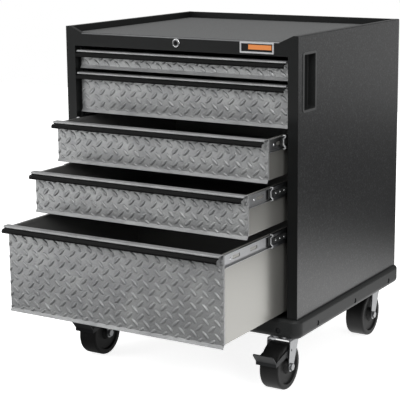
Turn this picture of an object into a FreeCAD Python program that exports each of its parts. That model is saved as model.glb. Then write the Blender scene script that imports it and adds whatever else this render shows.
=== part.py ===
import FreeCAD, Part
import math
import os
from FreeCAD import Placement, Rotation, Vector

# A rolling garage drawer cabinet, in millimetres. X runs left to right seen from the front,
# Y runs from the front to the back and Z is up from the floor. Shapes are first built with
# the cabinet's front plane at y = 0, and moved at the end so that the whole box of the
# cabinet, with its drawers as far open as they are stored, is centred over the origin.

# Cabinet body
body_width = 693.0
body_depth = 614.0
rim_height = 904.0
rail_height = 886.5
rim_width = 13.5
ear_run = 38.0
post_width = 28.0
rail_bottom = 853.0
body_sheet = 1.2
frame_sheet = 1.5
frame_return = 22.0
floor_height = 150.0
corner_round = 4.0
edge_round = 1.0

# Top tray and mat
mat_thickness = 3.0
mat_front_gap = 20.0
mat_side_gap = 2.2
tray_front_gap = 12.0
tray_apron = 14.0

# Base skirt
skirt_bottom = 146.0
skirt_top = 196.0
skirt_reach = 11.0
skirt_corner = 24.0
skirt_shoulder = 9.5
skirt_lower_round = 14.0
skirt_lip = 10.0
skirt_lip_thickness = 3.0
skirt_screw_height = 165.0
skirt_side_screws = (96.0, 322.0, 547.0)
skirt_front_screw_inset = 48.0
screw_recess_radius = 7.0
screw_recess_depth = 4.0
screw_head_radius = 5.0
screw_head_height = 2.4
screw_radius = 2.4
screw_length = 12.0
hole_clearance = 0.15

# Side hand-holds
hand_hold_front = 30.0
hand_hold_width = 61.0
hand_hold_bottom = 720.5
hand_hold_height = 136.5
hand_hold_depth = 20.0
hand_hold_wall = 1.5
hand_hold_round = 5.0
hand_hold_flange = 2.5
hand_hold_proud = 0.8

# Badge
badge_left = 185.5
badge_width = 95.0
badge_height = 28.0
badge_bottom = 857.4
badge_thickness = 2.0
badge_border = 4.0
badge_step = 0.8
badge_round = 1.5

# Drawers, from the top one down. A drawer's opening is the distance that it is pulled out.
drawer_unit = 58.7
drawer_units = (1, 2, 2, 2, 4)
drawer_open = (0.0, 0.0, 110.8, 209.0, 322.8)
front_gap = 9.7
front_recess = 20.3
front_overlap = 5.0
front_sheet = 1.5
front_return = 6.0
flange_reach = 19.8
flange_hem = 4.5
lip_reach = 5.0
lip_height = 8.2
bend_round = 2.0
box_sheet = 1.2
box_depth = 556.0
box_top_drop = 4.0
box_bottom_rise = 2.0
box_hem = 8.0
liner_thickness = 2.0
liner_gap = 1.0

# Pulls
pull_sheet = 1.5
pull_reach = 30.4
pull_height = 17.2
pull_end_gap = 2.0

# Slides
slide_thickness = 13.0
slide_length = 500.0
slide_sheet = 1.2
slide_slots = 5
slot_length = 34.0
slot_height = 9.0
slide_drop = 20.4
cabinet_member_height = 45.0
middle_member_height = 35.2
drawer_member_height = 31.6
slide_setback = 36.0
middle_length = 440.0
drawer_member_reach = 7.1
drawer_member_setback = 14.0
middle_front = (37.6, 37.6, -2.7, -66.9, -67.0)
race_gap = 0.7

# Uprights that carry the slides
upright_width = 30.0
upright_sheet = 1.5
upright_flange = 7.0
rear_upright_front = 500.0

# Lock
lock_height = 873.0
bezel_radius = 11.0
bezel_proud = 3.0
barrel_radius = 8.5
barrel_length = 20.0
lock_nut_radius = 12.0
lock_nut_thickness = 3.0
plug_radius = 6.0
plug_proud = 0.6
key_slot_width = 1.4
key_slot_height = 7.0
key_slot_depth = 5.0
running_gap = 0.06
lock_rod_radius = 3.0
crank_radius = 7.0
crank_thickness = 3.0
crank_pin_radius = 2.0
crank_eye = 3.3
crank_hub = 6.5
crank_gap = 0.4
lock_bar_front = 603.5
lock_bar_sheet = 2.0
lock_bar_width = 34.0
lock_bar_bottom = 300.0
yoke_slot_gap = 0.4
hook_width = 12.0
hook_tip = 13.0
hook_lift_gap = 2.0
hook_reach = 12.0
catch_height = 10.0
catch_sheet = 1.5
catch_play = 1.5
bush_radius = 7.0
bush_length = 4.0
guide_wall = 2.0
guide_height = 16.0

# Casters
caster_inset_x = 64.9
caster_inset_y = 52.3
caster_plate_x = 96.0
caster_plate_y = 80.0
caster_plate_thickness = 4.0
caster_bolt_spacing_x = 56.0
caster_bolt_spacing_y = 60.0
caster_bolt_radius = 4.0
bolt_head_radius = 6.5
bolt_head_height = 4.0
wheel_radius = 60.5
wheel_width = 53.0
wheel_shoulder = 4.5
wheel_offset = 22.5
hub_radius = 17.0
hub_width = 60.0
wheel_dish_radius = 44.0
wheel_dish_depth = 5.0
axle_radius = 6.0
axle_head_radius = 9.5
axle_head_height = 5.5
fork_sheet = 3.2
fork_gap = 0.3
fork_eye_radius = 12.5
crown_drop = 20.0
crown_length = 52.0
race_radius = 31.0
king_pin_radius = 6.0
king_head_radius = 11.0
king_head_height = 3.5

# Brake pedals on the front casters
brake_pivot_forward = 20.0
brake_pivot_height = 104.0
brake_pin_radius = 3.0
brake_arm_sheet = 2.0
brake_arm_gap = 0.75
pedal_forward = 92.0
pedal_height = 82.0
pedal_tip_forward = 112.0
pedal_tip_height = 112.0
pedal_sheet = 2.5
pedal_width = 48.0

# Sizes that follow from the ones above
half_width = body_width / 2.0
opening_half = half_width - post_width
rim_inner = half_width - rim_width
tray_floor = rail_height - mat_thickness
front_half = opening_half - front_overlap
box_half = opening_half - frame_sheet - slide_thickness
upright_face = box_half + slide_thickness
pan_top = floor_height + frame_sheet
back_inner = body_depth - body_sheet
face_plane = front_recess


def drawer_top(index):
    units_below = sum(drawer_units[index:])
    return skirt_top + units_below * drawer_unit


def face_of(index):
    # The plane of a drawer's front face where the drawer is stored.
    return face_plane - drawer_open[index]


def lip_bottom(index):
    return drawer_top(index) - drawer_units[index] * drawer_unit + front_gap


# Small drawing functions

def box(x0, x1, y0, y1, z0, z1):
    return Part.makeBox(x1 - x0, y1 - y0, z1 - z0, Vector(x0, y0, z0))


def rod(radius, base, axis, length):
    return Part.makeCylinder(radius, length, Vector(*base), Vector(*axis))


def rounded_path(points, radius, closed=False):
    # A wire through flat points, with each corner turned into an arc.
    corners = [Vector(a, b, 0) for a, b in points]
    count = len(corners)
    first = 0 if closed else 1
    last = count if closed else count - 1
    entry = {}
    for i in range(first, last):
        here = corners[i]
        before = corners[i - 1].sub(here)
        after = corners[(i + 1) % count].sub(here)
        turn = math.pi - before.getAngle(after)
        room = 0.49 * min(before.Length, after.Length)
        reach = min(radius * math.tan(turn / 2.0), room)
        bend = reach / math.tan(turn / 2.0)
        start = here.add(before.normalize().multiply(reach))
        end = here.add(after.normalize().multiply(reach))
        inward = before.add(after).normalize()
        middle = here.add(inward.multiply(bend / math.cos(turn / 2.0) - bend))
        entry[i] = (start, middle, end)
    edges = []
    for i in range(count if closed else count - 1):
        j = (i + 1) % count
        start = entry[i][2] if i in entry else corners[i]
        end = entry[j][0] if j in entry else corners[j]
        edges.append(Part.LineSegment(start, end).toShape())
        if j in entry:
            edges.append(Part.Arc(*entry[j]).toShape())
    return Part.Wire(edges)


def plate_face(points, radius=0.0):
    if radius > 0.0:
        return Part.Face(rounded_path(points, radius, closed=True))
    corners = [Vector(a, b, 0) for a, b in points]
    return Part.Face(Part.makePolygon(corners + corners[:1]))


def sheet_face(points, thickness, radius):
    # Folded sheet seen from its end: a bent line thickened to its right-hand side.
    return rounded_path(points, radius).makeOffset2D(thickness, 0, True, True)


def along_x(face, start, length):
    # The face's first and second directions become Y and Z.
    solid = face.extrude(Vector(0, 0, length))
    turn = Placement(Vector(0, 0, 0), Rotation(Vector(1, 1, 1), 120))
    solid.Placement = turn
    solid.translate(Vector(start, 0, 0))
    return solid


def along_y(face, start, length):
    # The face's first and second directions become X and Z.
    solid = face.extrude(Vector(0, 0, length))
    solid.Placement = Placement(Vector(0, 0, 0), Rotation(Vector(1, 0, 0), 90))
    solid.translate(Vector(0, start + length, 0))
    return solid


def along_z(face, start, length):
    solid = face.extrude(Vector(0, 0, length))
    solid.translate(Vector(0, 0, start))
    return solid


def mirrored(shape):
    return shape.mirror(Vector(0, 0, 0), Vector(1, 0, 0))


def both_sides(shape):
    return [shape, mirrored(shape)]


def rectangle(a0, a1, b0, b1):
    return [(a0, b0), (a1, b0), (a1, b1), (a0, b1)]


def edges_where(shape, wanted):
    return [edge for edge in shape.Edges if wanted(edge)]


def near(a, b):
    return abs(a - b) < 1e-4


parts = {}


# Base skirt and its screws

def screw_places():
    # Each screw as its point on the skirt's outer face and the way in.
    outer_x = half_width + skirt_reach
    places = []
    for side in (-1.0, 1.0):
        for y in skirt_side_screws:
            places.append((Vector(side * outer_x, y, skirt_screw_height), Vector(-side, 0, 0)))
        x = side * (half_width - skirt_front_screw_inset)
        places.append((Vector(x, -skirt_reach, skirt_screw_height), Vector(0, 1, 0)))
        back = body_depth + skirt_reach
        places.append((Vector(x, back, skirt_screw_height), Vector(0, -1, 0)))
    return places


def screw_holes(radius):
    holes = []
    for place, inward in screw_places():
        holes.append(Part.makeCylinder(radius, 30.0, place, inward))
    return holes


def make_base_skirt():
    outer = box(-half_width - skirt_reach, half_width + skirt_reach,
                -skirt_reach, body_depth + skirt_reach, skirt_bottom, skirt_top)
    upright = edges_where(outer, lambda e: near(e.BoundBox.ZLength, skirt_top - skirt_bottom))
    skirt = outer.makeFillet(skirt_corner, upright)
    shoulder = edges_where(skirt, lambda e: near(e.BoundBox.ZMin, skirt_top))
    skirt = skirt.makeFillet(skirt_shoulder, shoulder)
    lower = edges_where(skirt, lambda e: near(e.BoundBox.ZMax, skirt_bottom))
    skirt = skirt.makeFillet(skirt_lower_round, lower)
    lip_top = skirt_bottom + skirt_lip_thickness
    hollow = box(-half_width, half_width, 0, body_depth, lip_top, skirt_top)
    well = box(-half_width + skirt_lip, half_width - skirt_lip,
               skirt_lip, body_depth - skirt_lip, skirt_bottom, lip_top)
    recesses = []
    for place, inward in screw_places():
        recesses.append(Part.makeCylinder(screw_recess_radius, screw_recess_depth, place, inward))
    holes = screw_holes(screw_radius + hole_clearance)
    return skirt.cut([hollow, well] + recesses + holes)


def make_skirt_screws():
    screws = []
    for place, inward in screw_places():
        seat = place.add(Vector(inward).multiply(screw_recess_depth))
        outward = Vector(inward).multiply(-1.0)
        head = Part.makeCylinder(screw_head_radius, screw_head_height, seat, outward)
        rim = edges_where(head, lambda e: abs(e.CenterOfMass.sub(seat).Length) > 0.1
                          and e.Closed)
        head = head.makeFillet(screw_head_height * 0.45, rim[:1])
        shank = Part.makeCylinder(screw_radius, screw_length, seat, inward)
        screws.append(head.fuse(shank).removeSplitter())
    return Part.makeCompound(screws)


parts["base_skirt"] = make_base_skirt()
parts["skirt_screws"] = make_skirt_screws()


# Outer sheet metal

def hand_hold_outline(grow):
    y0 = hand_hold_front - grow
    y1 = hand_hold_front + hand_hold_width + grow
    z0 = hand_hold_bottom - grow
    z1 = hand_hold_bottom + hand_hold_height + grow
    return plate_face(rectangle(y0, y1, z0, z1), hand_hold_round + grow)


def make_side_panel():
    # The right side: a flat sheet whose top edge turns in as the rim.
    outline = [(rim_inner, rim_height), (half_width, rim_height), (half_width, floor_height)]
    face = sheet_face(outline, body_sheet, bend_round + body_sheet)
    depth = body_depth - frame_sheet
    panel = along_y(face, frame_sheet, depth)
    cutout = along_x(hand_hold_outline(0.0), half_width - 30.0, 60.0)
    return panel.cut([cutout] + screw_holes(screw_radius + hole_clearance))


def make_back_panel():
    # Sits between the side panels, with its top edge turned forward as the rear rim. The bush
    # for the lock rod and the guides for the lock bar are welded to its inner face.
    outline = [(body_depth - rim_width, rim_height), (body_depth, rim_height),
               (body_depth, floor_height)]
    face = sheet_face(outline, body_sheet, bend_round + body_sheet)
    inner_half = half_width - body_sheet
    panel = along_x(face, -inner_half, 2.0 * inner_half)
    corner_room = box(rim_inner, half_width, body_depth - rim_width - 1.0,
                      back_inner - bend_round - body_sheet, rim_height - 10.0, rim_height + 1.0)
    corner_bend = box(rim_inner, half_width, back_inner - bend_round - body_sheet, body_depth + 1.0,
                      rim_height - body_sheet - bend_round, rim_height + 1.0)
    corners = both_sides(corner_room) + both_sides(corner_bend)
    panel = panel.cut(corners + screw_holes(screw_radius + hole_clearance))
    bush = rod(bush_radius, (0, back_inner - bush_length, lock_height), (0, 1, 0), bush_length)
    bore = rod(lock_rod_radius + running_gap, (0, back_inner - bush_length, lock_height),
               (0, 1, 0), bush_length)
    panel = panel.fuse(bush).cut(bore)
    for height in lock_guide_heights():
        panel = panel.fuse(make_guide(height))
    return panel.removeSplitter()


def lock_guide_heights():
    return (lock_bar_bottom + 70.0, lock_height - 90.0)


def make_guide(height):
    # A bridge over the lock bar, open at its ends, with feet on the back panel.
    gap = 0.5
    bar_back = lock_bar_front + lock_bar_sheet
    inner = lock_bar_width / 2.0 + gap
    outer = inner + guide_wall
    front = lock_bar_front - gap
    bridge = box(-outer, outer, front - guide_wall, back_inner, height, height + guide_height)
    tunnel = box(-inner, inner, front, back_inner, height, height + guide_height)
    rest = box(-inner, inner, bar_back + gap, back_inner, height, height + guide_height)
    return bridge.cut(tunnel).fuse(rest)


def frame_outline():
    return [(-half_width, floor_height), (half_width, floor_height), (half_width, rim_height),
            (rim_inner, rim_height), (rim_inner - ear_run, rail_height),
            (-rim_inner + ear_run, rail_height), (-rim_inner, rim_height),
            (-half_width, rim_height)]


def make_front_frame():
    # One welded frame: the face with its two ears, returns round the drawer opening, and a
    # return along the sloping top edge.
    face = plate_face(frame_outline())
    plate = along_y(face, 0.0, frame_sheet)
    top_edges = edges_where(plate, lambda e: near(e.BoundBox.YMax, 0.0)
                            and e.BoundBox.ZMin > rail_bottom)
    plate = plate.makeFillet(edge_round, top_edges)
    opening = rectangle(-opening_half, opening_half, skirt_top, rail_bottom)
    t = frame_sheet
    sleeve = rectangle(-opening_half - t, opening_half + t, skirt_top - t, rail_bottom + t)
    returns = along_y(plate_face(sleeve), 0.0, frame_return)
    through = along_y(plate_face(opening), 0.0, frame_return)
    inset = face.makeOffset2D(-frame_sheet)
    top_return = along_y(face, frame_sheet, tray_front_gap - frame_sheet).cut(
        along_y(inset, frame_sheet, tray_front_gap - frame_sheet))
    side = half_width - body_sheet
    keep = box(-side, side, 0, tray_front_gap, rail_bottom + 10.0, rim_height - body_sheet)
    keep = keep.cut(both_sides(box(rim_inner, half_width, 0, tray_front_gap,
                                   rail_bottom, rim_height)))
    top_return = top_return.common(keep)
    frame = plate.fuse([returns, top_return]).cut(through)
    barrel_hole = rod(barrel_radius + hole_clearance, (0, 0, lock_height), (0, 1, 0), frame_sheet)
    return frame.cut([barrel_hole] + screw_holes(screw_radius + hole_clearance)).removeSplitter()


def make_top_tray():
    # The worktop pan: its side walls stand up under the turned-in rims.
    t = body_sheet
    wall_top = rim_height - t
    outline = [(-rim_inner, wall_top), (-rim_inner, tray_floor), (rim_inner, tray_floor),
               (rim_inner, wall_top)]
    face = sheet_face(outline, t, bend_round)
    rear = body_depth - rim_width
    pan = along_y(face, tray_front_gap, rear - tray_front_gap)
    rear_wall = box(-rim_inner - t, rim_inner + t, rear, rear + t, tray_floor - t, wall_top)
    apron = box(-rim_inner + ear_run, rim_inner - ear_run, tray_front_gap, tray_front_gap + t,
                tray_floor - tray_apron, tray_floor)
    notch = rod(barrel_radius + 1.0, (0, tray_front_gap - 1.0, lock_height), (0, 1, 0), 4.0)
    return pan.fuse([rear_wall, apron]).cut(notch).removeSplitter()


def make_top_mat():
    side = rim_inner - mat_side_gap
    rear = body_depth - rim_width - mat_side_gap
    face = plate_face(rectangle(-side, side, mat_front_gap, rear), corner_round)
    return along_z(face, tray_floor, mat_thickness)


def make_floor_pan():
    # A pan with its edges turned up, and holes for the caster bolts.
    side = half_width - body_sheet
    outline = [(-side, skirt_top - 8.0), (-side, floor_height), (side, floor_height),
               (side, skirt_top - 8.0)]
    face = sheet_face(outline, -frame_sheet, bend_round + frame_sheet)
    pan = along_y(face, frame_sheet, back_inner - frame_sheet)
    holes = []
    for x, y in caster_bolt_places():
        holes.append(rod(caster_bolt_radius + hole_clearance, (x, y, floor_height - 5.0),
                         (0, 0, 1), 20.0))
    return pan.cut(holes + screw_holes(screw_radius + hole_clearance))


def make_hand_holds():
    # A pressed cup behind the cutout of each side panel, with a thin flange round its mouth.
    mouth = half_width
    back = mouth - hand_hold_depth
    wall = hand_hold_wall
    cup = along_x(hand_hold_outline(0.0), back - wall, hand_hold_depth + wall + hand_hold_proud)
    flange = along_x(hand_hold_outline(hand_hold_flange), mouth, hand_hold_proud)
    hollow = along_x(hand_hold_outline(-wall), back, hand_hold_depth + 5.0)
    floor_edges = edges_where(hollow, lambda e: near(e.BoundBox.XMax, back))
    hollow = hollow.makeFillet(3.0, floor_edges)
    rim_edges = edges_where(flange, lambda e: near(e.BoundBox.XMin, mouth + hand_hold_proud))
    flange = flange.makeFillet(0.6, rim_edges)
    right = cup.fuse(flange).cut(hollow).removeSplitter()
    return Part.makeCompound(both_sides(right))


def make_badge():
    # A bare framed plate. Its field is sunk a little inside a raised border.
    x0 = badge_left
    x1 = badge_left + badge_width
    z0 = badge_bottom
    z1 = badge_bottom + badge_height
    plate = along_y(plate_face(rectangle(x0, x1, z0, z1), badge_round), -badge_thickness,
                    badge_thickness)
    front = edges_where(plate, lambda e: near(e.BoundBox.YMax, -badge_thickness))
    plate = plate.makeFillet(0.5, front)
    field = rectangle(x0 + badge_border, x1 - badge_border, z0 + badge_border, z1 - badge_border)
    sunk = along_y(plate_face(field), -badge_thickness, badge_step)
    return plate.cut(sunk)


def make_slide_uprights():
    # Four channels from the floor pan to the tray; the slides hang on their webs.
    height = tray_floor - body_sheet - pan_top
    t = upright_sheet
    channels = []
    for y in (frame_return, rear_upright_front):
        outline = [(upright_face + upright_flange, y + upright_width), (upright_face,
                   y + upright_width), (upright_face, y), (upright_face + upright_flange, y)]
        face = sheet_face(outline, -t, bend_round)
        channels += both_sides(along_z(face, pan_top, height))
    return Part.makeCompound(channels)


# Casters. Each is built round its own swivel axis at x = 0, y = 0, with the wheel forward.

def caster_places():
    x = half_width - caster_inset_x
    ahead = caster_inset_y
    behind = body_depth - caster_inset_y
    return {"front_left": (-x, ahead), "front_right": (x, ahead),
            "rear_left": (-x, behind), "rear_right": (x, behind)}


def caster_bolt_places():
    places = []
    for x, y in caster_places().values():
        for across in (-0.5, 0.5):
            for along in (-0.5, 0.5):
                places.append((x + across * caster_bolt_spacing_x,
                               y + along * caster_bolt_spacing_y))
    return places


plate_bottom = floor_height - caster_plate_thickness
crown_top = floor_height - crown_drop + fork_sheet
crown_bottom = crown_top - fork_sheet


def make_caster_plate():
    # Mounting plate, upper race and king pin.
    outline = rectangle(-caster_plate_x / 2.0, caster_plate_x / 2.0,
                        -caster_plate_y / 2.0, caster_plate_y / 2.0)
    plate = along_z(plate_face(outline, corner_round * 2.0), plate_bottom, caster_plate_thickness)
    race_bottom = crown_top + 4.0
    profile = [(0, plate_bottom), (race_radius - 3.0, plate_bottom), (race_radius - 1.0,
               plate_bottom - 3.0), (race_radius - 5.0, race_bottom), (0, race_bottom)]
    upper_race = revolved(profile)
    pin = rod(king_pin_radius, (0, 0, crown_bottom), (0, 0, 1), plate_bottom - crown_bottom)
    head = rod(king_head_radius, (0, 0, crown_bottom - fork_gap - king_head_height), (0, 0, 1),
               king_head_height)
    neck = rod(king_pin_radius, (0, 0, crown_bottom - fork_gap), (0, 0, 1), fork_gap)
    holes = []
    for across in (-0.5, 0.5):
        for along in (-0.5, 0.5):
            holes.append(rod(caster_bolt_radius + hole_clearance, (across * caster_bolt_spacing_x,
                             along * caster_bolt_spacing_y, plate_bottom - 1.0), (0, 0, 1), 20.0))
    return plate.fuse([upper_race, pin, neck, head]).cut(holes).removeSplitter()


def revolved(profile):
    # A closed outline of radius and height, turned about Z.
    corners = [Vector(r, 0, z) for r, z in profile]
    face = Part.Face(Part.makePolygon(corners + corners[:1]))
    return face.revolve(Vector(0, 0, 0), Vector(0, 0, 1), 360)


def fork_arm_face():
    # From the crown down and forward to the eye round the axle.
    r = fork_eye_radius
    eye = Vector(-wheel_offset, wheel_radius, 0)
    front_top = Vector(-crown_length / 2.0, crown_top, 0)
    rear_top = Vector(crown_length / 2.0 - 4.0, crown_top, 0)
    front_foot = tangent_point(front_top, eye, r, -1.0)
    rear_foot = tangent_point(rear_top, eye, r, 1.0)
    lowest = Vector(eye.x, eye.y - r, 0)
    edges = [Part.LineSegment(rear_top, front_top).toShape(),
             Part.LineSegment(front_top, front_foot).toShape(),
             Part.Arc(front_foot, lowest, rear_foot).toShape(),
             Part.LineSegment(rear_foot, rear_top).toShape()]
    return Part.Face(Part.Wire(edges))


def tangent_point(outside, centre, radius, side):
    # Where a line from a point outside touches a circle, on the chosen side.
    to_centre = centre.sub(outside)
    distance = to_centre.Length
    angle = math.atan2(-to_centre.y, -to_centre.x)
    spread = math.acos(radius / distance)
    direction = angle - side * spread
    return centre.add(Vector(math.cos(direction), math.sin(direction), 0).multiply(radius))


def make_fork(with_brake):
    # One bent strip: a crown with an arm down each side, trimmed to the arm's outline.
    inner = hub_width / 2.0 + fork_gap
    outer = inner + fork_sheet
    foot = wheel_radius - fork_eye_radius - 1.0
    line = [(-inner, foot), (-inner, crown_bottom), (inner, crown_bottom), (inner, foot)]
    strip = along_y(sheet_face(line, -fork_sheet, 4.0), -crown_length, 2.0 * crown_length)
    strip = strip.common(along_x(fork_arm_face(), -2.0 * inner, 4.0 * inner))
    lower_race = revolved([(race_radius - 9.0, crown_top), (race_radius, crown_top),
                           (race_radius + 1.0, crown_top + 5.0), (race_radius - 1.5,
                           crown_top + 5.0), (race_radius - 4.0, crown_top + 2.0),
                           (race_radius - 9.0, crown_top + 2.0)])
    king_hole = rod(king_pin_radius + running_gap, (0, 0, crown_bottom - 1.0), (0, 0, 1), 20.0)
    axle_hole = rod(axle_radius, (-outer, -wheel_offset, wheel_radius), (1, 0, 0), 2.0 * outer)
    cuts = [king_hole, axle_hole]
    if with_brake:
        cuts.append(rod(brake_pin_radius + running_gap, (-outer, -brake_pivot_forward,
                    brake_pivot_height), (1, 0, 0), 2.0 * outer))
    body = strip.fuse(lower_race).cut(cuts).removeSplitter()
    return Part.makeCompound([body, make_axle(outer)])


def make_axle(reach):
    # Axle bolt with a round head on one end and a hexagon nut on the other.
    centre = (-reach, -wheel_offset, wheel_radius)
    shank = rod(axle_radius, centre, (1, 0, 0), 2.0 * reach + axle_head_height)
    head = rod(axle_head_radius, (-reach - axle_head_height * 0.7, -wheel_offset, wheel_radius),
               (1, 0, 0), axle_head_height * 0.7)
    corners = []
    for i in range(6):
        angle = math.radians(60.0 * i)
        corners.append((-wheel_offset + axle_head_radius * math.cos(angle),
                        wheel_radius + axle_head_radius * math.sin(angle)))
    nut = along_x(plate_face(corners), reach, axle_head_height)
    return shank.fuse([head, nut]).removeSplitter()


def make_wheel():
    # Solid rubber wheel with dished sides and a plain bored hub, turned about its axle.
    half = wheel_width / 2.0
    hub_half = hub_width / 2.0
    s = wheel_shoulder
    dish = half - wheel_dish_depth
    bore = axle_radius + running_gap
    right = [(wheel_radius, half - s), (wheel_radius - s * 0.3, half - s * 0.3),
             (wheel_radius - s, half), (wheel_dish_radius + 3.0, half), (wheel_dish_radius, dish),
             (hub_radius + 3.0, dish), (hub_radius, half), (hub_radius - 2.0, hub_half),
             (bore, hub_half)]
    left = [(r, -a) for r, a in reversed(right)]
    wheel = revolved(right + left)
    wheel.rotate(Vector(0, 0, 0), Vector(0, 1, 0), 90)
    wheel.translate(Vector(0, -wheel_offset, wheel_radius))
    return wheel


def make_brake():
    # A pedal in front of the wheel on two arms, with its pin through the fork.
    inner = wheel_width / 2.0 + brake_arm_gap
    outer = inner + brake_arm_sheet
    pivot = (-brake_pivot_forward, brake_pivot_height)
    arm_points = [(pivot[0] + 9.0, pivot[1] - 8.0), (pivot[0] + 9.0, pivot[1] + 8.0),
                  (-pedal_forward, pedal_height + 9.0), (-pedal_forward, pedal_height - 4.0)]
    arm = along_x(plate_face(arm_points, 4.0), inner, brake_arm_sheet)
    line = [(-pedal_forward, pedal_height - 4.0), (-pedal_forward, pedal_height + 6.0),
            (-pedal_tip_forward, pedal_tip_height)]
    pedal = along_x(sheet_face(line, -pedal_sheet, 5.0), -outer, 2.0 * outer)
    tips = edges_where(pedal, lambda e: near(e.BoundBox.XLength, pedal_sheet) is False
                       and e.BoundBox.YMin < -pedal_tip_forward + 3.0
                       and e.BoundBox.XLength < 0.001 and e.BoundBox.ZMin > pedal_height + 12.0)
    if tips:
        pedal = pedal.makeFillet(pedal_width / 8.0, tips)
    reach = hub_width / 2.0 + fork_gap + fork_sheet
    pin = rod(brake_pin_radius, (-reach, -brake_pivot_forward, brake_pivot_height),
              (1, 0, 0), reach - inner)
    return pedal.fuse([arm, mirrored(arm), pin, mirrored(pin)]).removeSplitter()


def make_caster_bolts():
    # Hexagon bolts up through the plates, with a nut on the floor pan.
    bolts = []
    for x, y in caster_bolt_places():
        shank = rod(caster_bolt_radius, (x, y, plate_bottom), (0, 0, 1),
                    pan_top + bolt_head_height + 2.0 - plate_bottom)
        corners = []
        for i in range(6):
            angle = math.radians(60.0 * i)
            corners.append((x + bolt_head_radius * math.cos(angle),
                            y + bolt_head_radius * math.sin(angle)))
        face = plate_face(corners)
        head = along_z(face, plate_bottom - bolt_head_height, bolt_head_height)
        nut = along_z(face, pan_top, bolt_head_height)
        bolts.append(shank.fuse([head, nut]).removeSplitter())
    return Part.makeCompound(bolts)


# Lock

def make_lock_bezel():
    # Ring and threaded barrel through the rail, with its nut behind.
    ring = rod(bezel_radius, (0, -bezel_proud, lock_height), (0, 1, 0), bezel_proud)
    front = edges_where(ring, lambda e: near(e.BoundBox.YMax, -bezel_proud))
    ring = ring.makeFillet(bezel_proud * 0.6, front)
    barrel = rod(barrel_radius, (0, 0, lock_height), (0, 1, 0), barrel_length)
    corners = []
    for i in range(6):
        angle = math.radians(60.0 * i)
        corners.append((lock_nut_radius * math.cos(angle),
                        lock_height + lock_nut_radius * math.sin(angle)))
    nut = along_y(plate_face(corners), frame_sheet, lock_nut_thickness)
    bore = rod(plug_radius + running_gap, (0, -bezel_proud, lock_height), (0, 1, 0),
               bezel_proud + barrel_length)
    return ring.fuse([barrel, nut]).cut(bore).removeSplitter()


def make_lock_cylinder():
    start = -bezel_proud - plug_proud
    plug = rod(plug_radius, (0, start, lock_height), (0, 1, 0), barrel_length - start)
    slot = box(-key_slot_width / 2.0, key_slot_width / 2.0, start, start + key_slot_depth,
               lock_height - key_slot_height / 2.0, lock_height + key_slot_height / 2.0)
    return plug.cut(slot)


crank_face = lock_bar_front - crank_gap - crank_thickness


def crank_pin_place():
    # The crank points up at 45 degrees when unlocked, and turns 90 degrees to lock.
    reach = crank_radius * math.cos(math.radians(45.0))
    return reach, lock_height + reach


def make_lock_rod():
    # From the cylinder to the bush on the back panel, with the crank in front of the bar.
    length = back_inner - barrel_length
    shaft = rod(lock_rod_radius, (0, barrel_length, lock_height), (0, 1, 0), length)
    x, z = crank_pin_place()
    hub = rod(crank_hub, (0, crank_face, lock_height), (0, 1, 0), crank_thickness)
    eye = rod(crank_eye, (x, crank_face, z), (0, 1, 0), crank_thickness)
    web = box(0, crank_radius, crank_face, crank_face + crank_thickness,
              lock_height - crank_eye, lock_height + crank_eye)
    web.rotate(Vector(0, 0, lock_height), Vector(0, 1, 0), -45)
    pin_length = crank_thickness + crank_gap + lock_bar_sheet + 1.0
    pin = rod(crank_pin_radius, (x, crank_face, z), (0, 1, 0), pin_length)
    return shaft.fuse([hub, eye, web, pin]).removeSplitter()


def hook_base(index):
    # The level of a drawer's catch top, behind its box.
    return drawer_top(index) - box_top_drop - 16.0


def make_lock_bar():
    # A flat bar behind the drawers. Its yoke slot takes the crank pin, its window leaves room
    # for the rod, and each hook, of two welded flats, drops in front of a closed catch.
    x, z = crank_pin_place()
    half = lock_bar_width / 2.0
    back = lock_bar_front + lock_bar_sheet
    top = z + crank_pin_radius + yoke_slot_gap + 5.0
    outline = rectangle(-half, half, lock_bar_bottom, top)
    bar = along_y(plate_face(outline, 3.0), lock_bar_front, lock_bar_sheet)
    travel = 2.0 * crank_radius * math.sin(math.radians(45.0))
    pin_room = crank_pin_radius + yoke_slot_gap
    slot_end = crank_radius + crank_pin_radius + 2.0
    yoke = box(-slot_end, slot_end, lock_bar_front, back, z - pin_room, z + pin_room)
    shaft_room = lock_rod_radius + 1.5
    window = box(-shaft_room, shaft_room, lock_bar_front, back,
                 lock_height - shaft_room, lock_height + travel + shaft_room)
    bar = bar.cut([yoke, window])
    hooks = []
    side = hook_width / 2.0
    front = lock_bar_front - hook_reach
    for index in range(len(drawer_units)):
        tip = hook_base(index) + hook_lift_gap
        arm_low = tip + hook_tip
        arm = box(-side, side, front, lock_bar_front, arm_low, arm_low + catch_sheet)
        finger = box(-side, side, front, front + catch_sheet, tip, arm_low)
        hooks += [arm, finger]
    return Part.makeCompound([bar] + hooks)


# Drawers

def make_drawer_front(index):
    # Treadplate sheet: turned forward at the top with a hemmed edge and flared at the bottom.
    # A narrow strip stands back along each end.
    top = drawer_top(index)
    low = lip_bottom(index)
    face = face_of(index)
    under = top - front_sheet
    hem = face - flange_reach + front_sheet
    outline = [(face - lip_reach, low), (face, low + lip_height), (face, under), (hem, under),
               (hem, top - flange_hem)]
    sheet = along_x(sheet_face(outline, front_sheet, bend_round), -front_half, 2.0 * front_half)
    low_box = lip_bottom(index) + lip_height
    back = face + front_sheet
    end = box(front_half - front_sheet, front_half, back, face + front_return, low_box,
              top - bend_round)
    return Part.makeCompound([sheet] + both_sides(end))


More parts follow.
